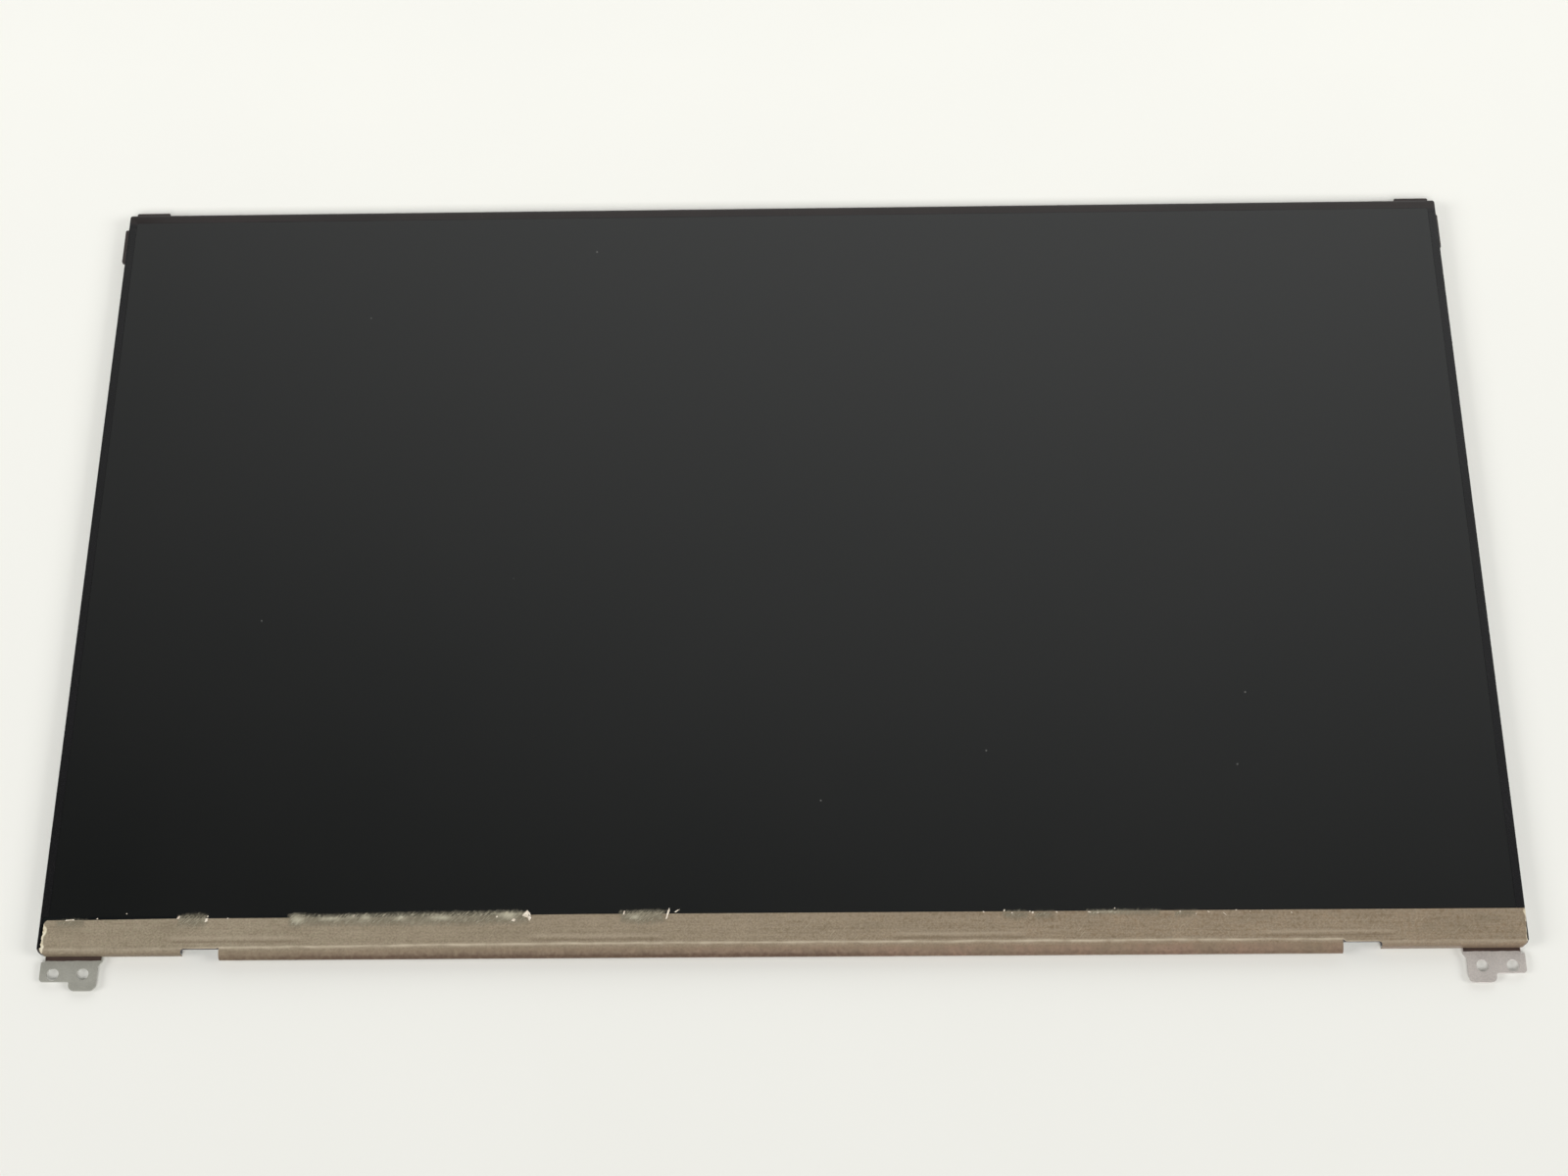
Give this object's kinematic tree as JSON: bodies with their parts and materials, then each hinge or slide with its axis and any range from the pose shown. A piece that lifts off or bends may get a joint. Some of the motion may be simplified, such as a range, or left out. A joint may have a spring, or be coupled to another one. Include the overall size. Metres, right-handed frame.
{
  "type": "laptop screen panel",
  "caption": "Flat bare laptop display panel: matte dark screen, black taped edges, tan fabric tape folded over the lower edge, and steel corner brackets with screw holes.",
  "frame": {"origin": "centre of the panel's outline on the back cover's raised seating face", "axes": "+X to the right of the screen, +Y up the screen, +Z out of the screen"},
  "size_m": [0.3173, 0.1942, 0.0037],
  "materials": {
    "screen_film": "matte anti-glare",
    "cell_glass": "polished, dark with the colour filter",
    "rear_film": "glossy grey film",
    "optical_sheet": "clear to milky",
    "reflector_film": "silvery white",
    "frame_plastic": "fine moulded grain",
    "black_tape": "satin polyester tape",
    "woven_tape": "metallised tan weave, worn and streaked",
    "pad_adhesive": "dark brown adhesive",
    "cover_metal": "satin rolled sheet",
    "bracket_steel": "dull stamped sheet",
    "board_resin": "green solder mask",
    "board_adhesive": "clear adhesive",
    "flex_film": "amber film over copper",
    "lamp_package": "white body, yellow phosphor face",
    "silicon": "polished die",
    "chip_plastic": "black moulded package",
    "inductor_ferrite": "grey pressed ferrite",
    "capacitor_ceramic": "tan ceramic with tinned ends",
    "resistor_body": "black glaze with tinned ends",
    "socket_plastic": "ivory moulding",
    "shell_steel": "tinned sheet",
    "contact_metal": "gold plated"
  },
  "bodies": {
    "root": {"front_polariser": "screen_film", "array_glass": "cell_glass", "colour_filter_glass": "cell_glass", "rear_polariser": "rear_film", "light_guide": "optical_sheet", "diffuser_sheet": "optical_sheet", "lower_prism_sheet": "optical_sheet", "upper_prism_sheet": "optical_sheet", "reflector_sheet": "reflector_film", "mould_frame": "frame_plastic", "cell_bond": "black_tape", "top_edge_tape": "black_tape", "left_edge_tape": "black_tape", "right_edge_tape": "black_tape", "fabric_tape": "woven_tape", "bracket_pads": "pad_adhesive", "rear_cover": "cover_metal", "left_bracket": "bracket_steel", "right_bracket": "bracket_steel", "control_board": "board_resin", "board_glue": "board_adhesive", "panel_flexes": "flex_film", "light_bar_strip": "flex_film", "light_bar_lamps": "lamp_package", "driver_chips": "silicon", "timing_controller": "chip_plastic", "memory_chip": "chip_plastic", "power_chip": "chip_plastic", "backlight_driver": "chip_plastic", "inductors": "inductor_ferrite", "capacitors": "capacitor_ceramic", "resistors": "resistor_body", "light_bar_socket": "socket_plastic", "connector_housing": "socket_plastic", "connector_shell": "shell_steel", "connector_contacts": "contact_metal"}
  },
  "joints": []
}
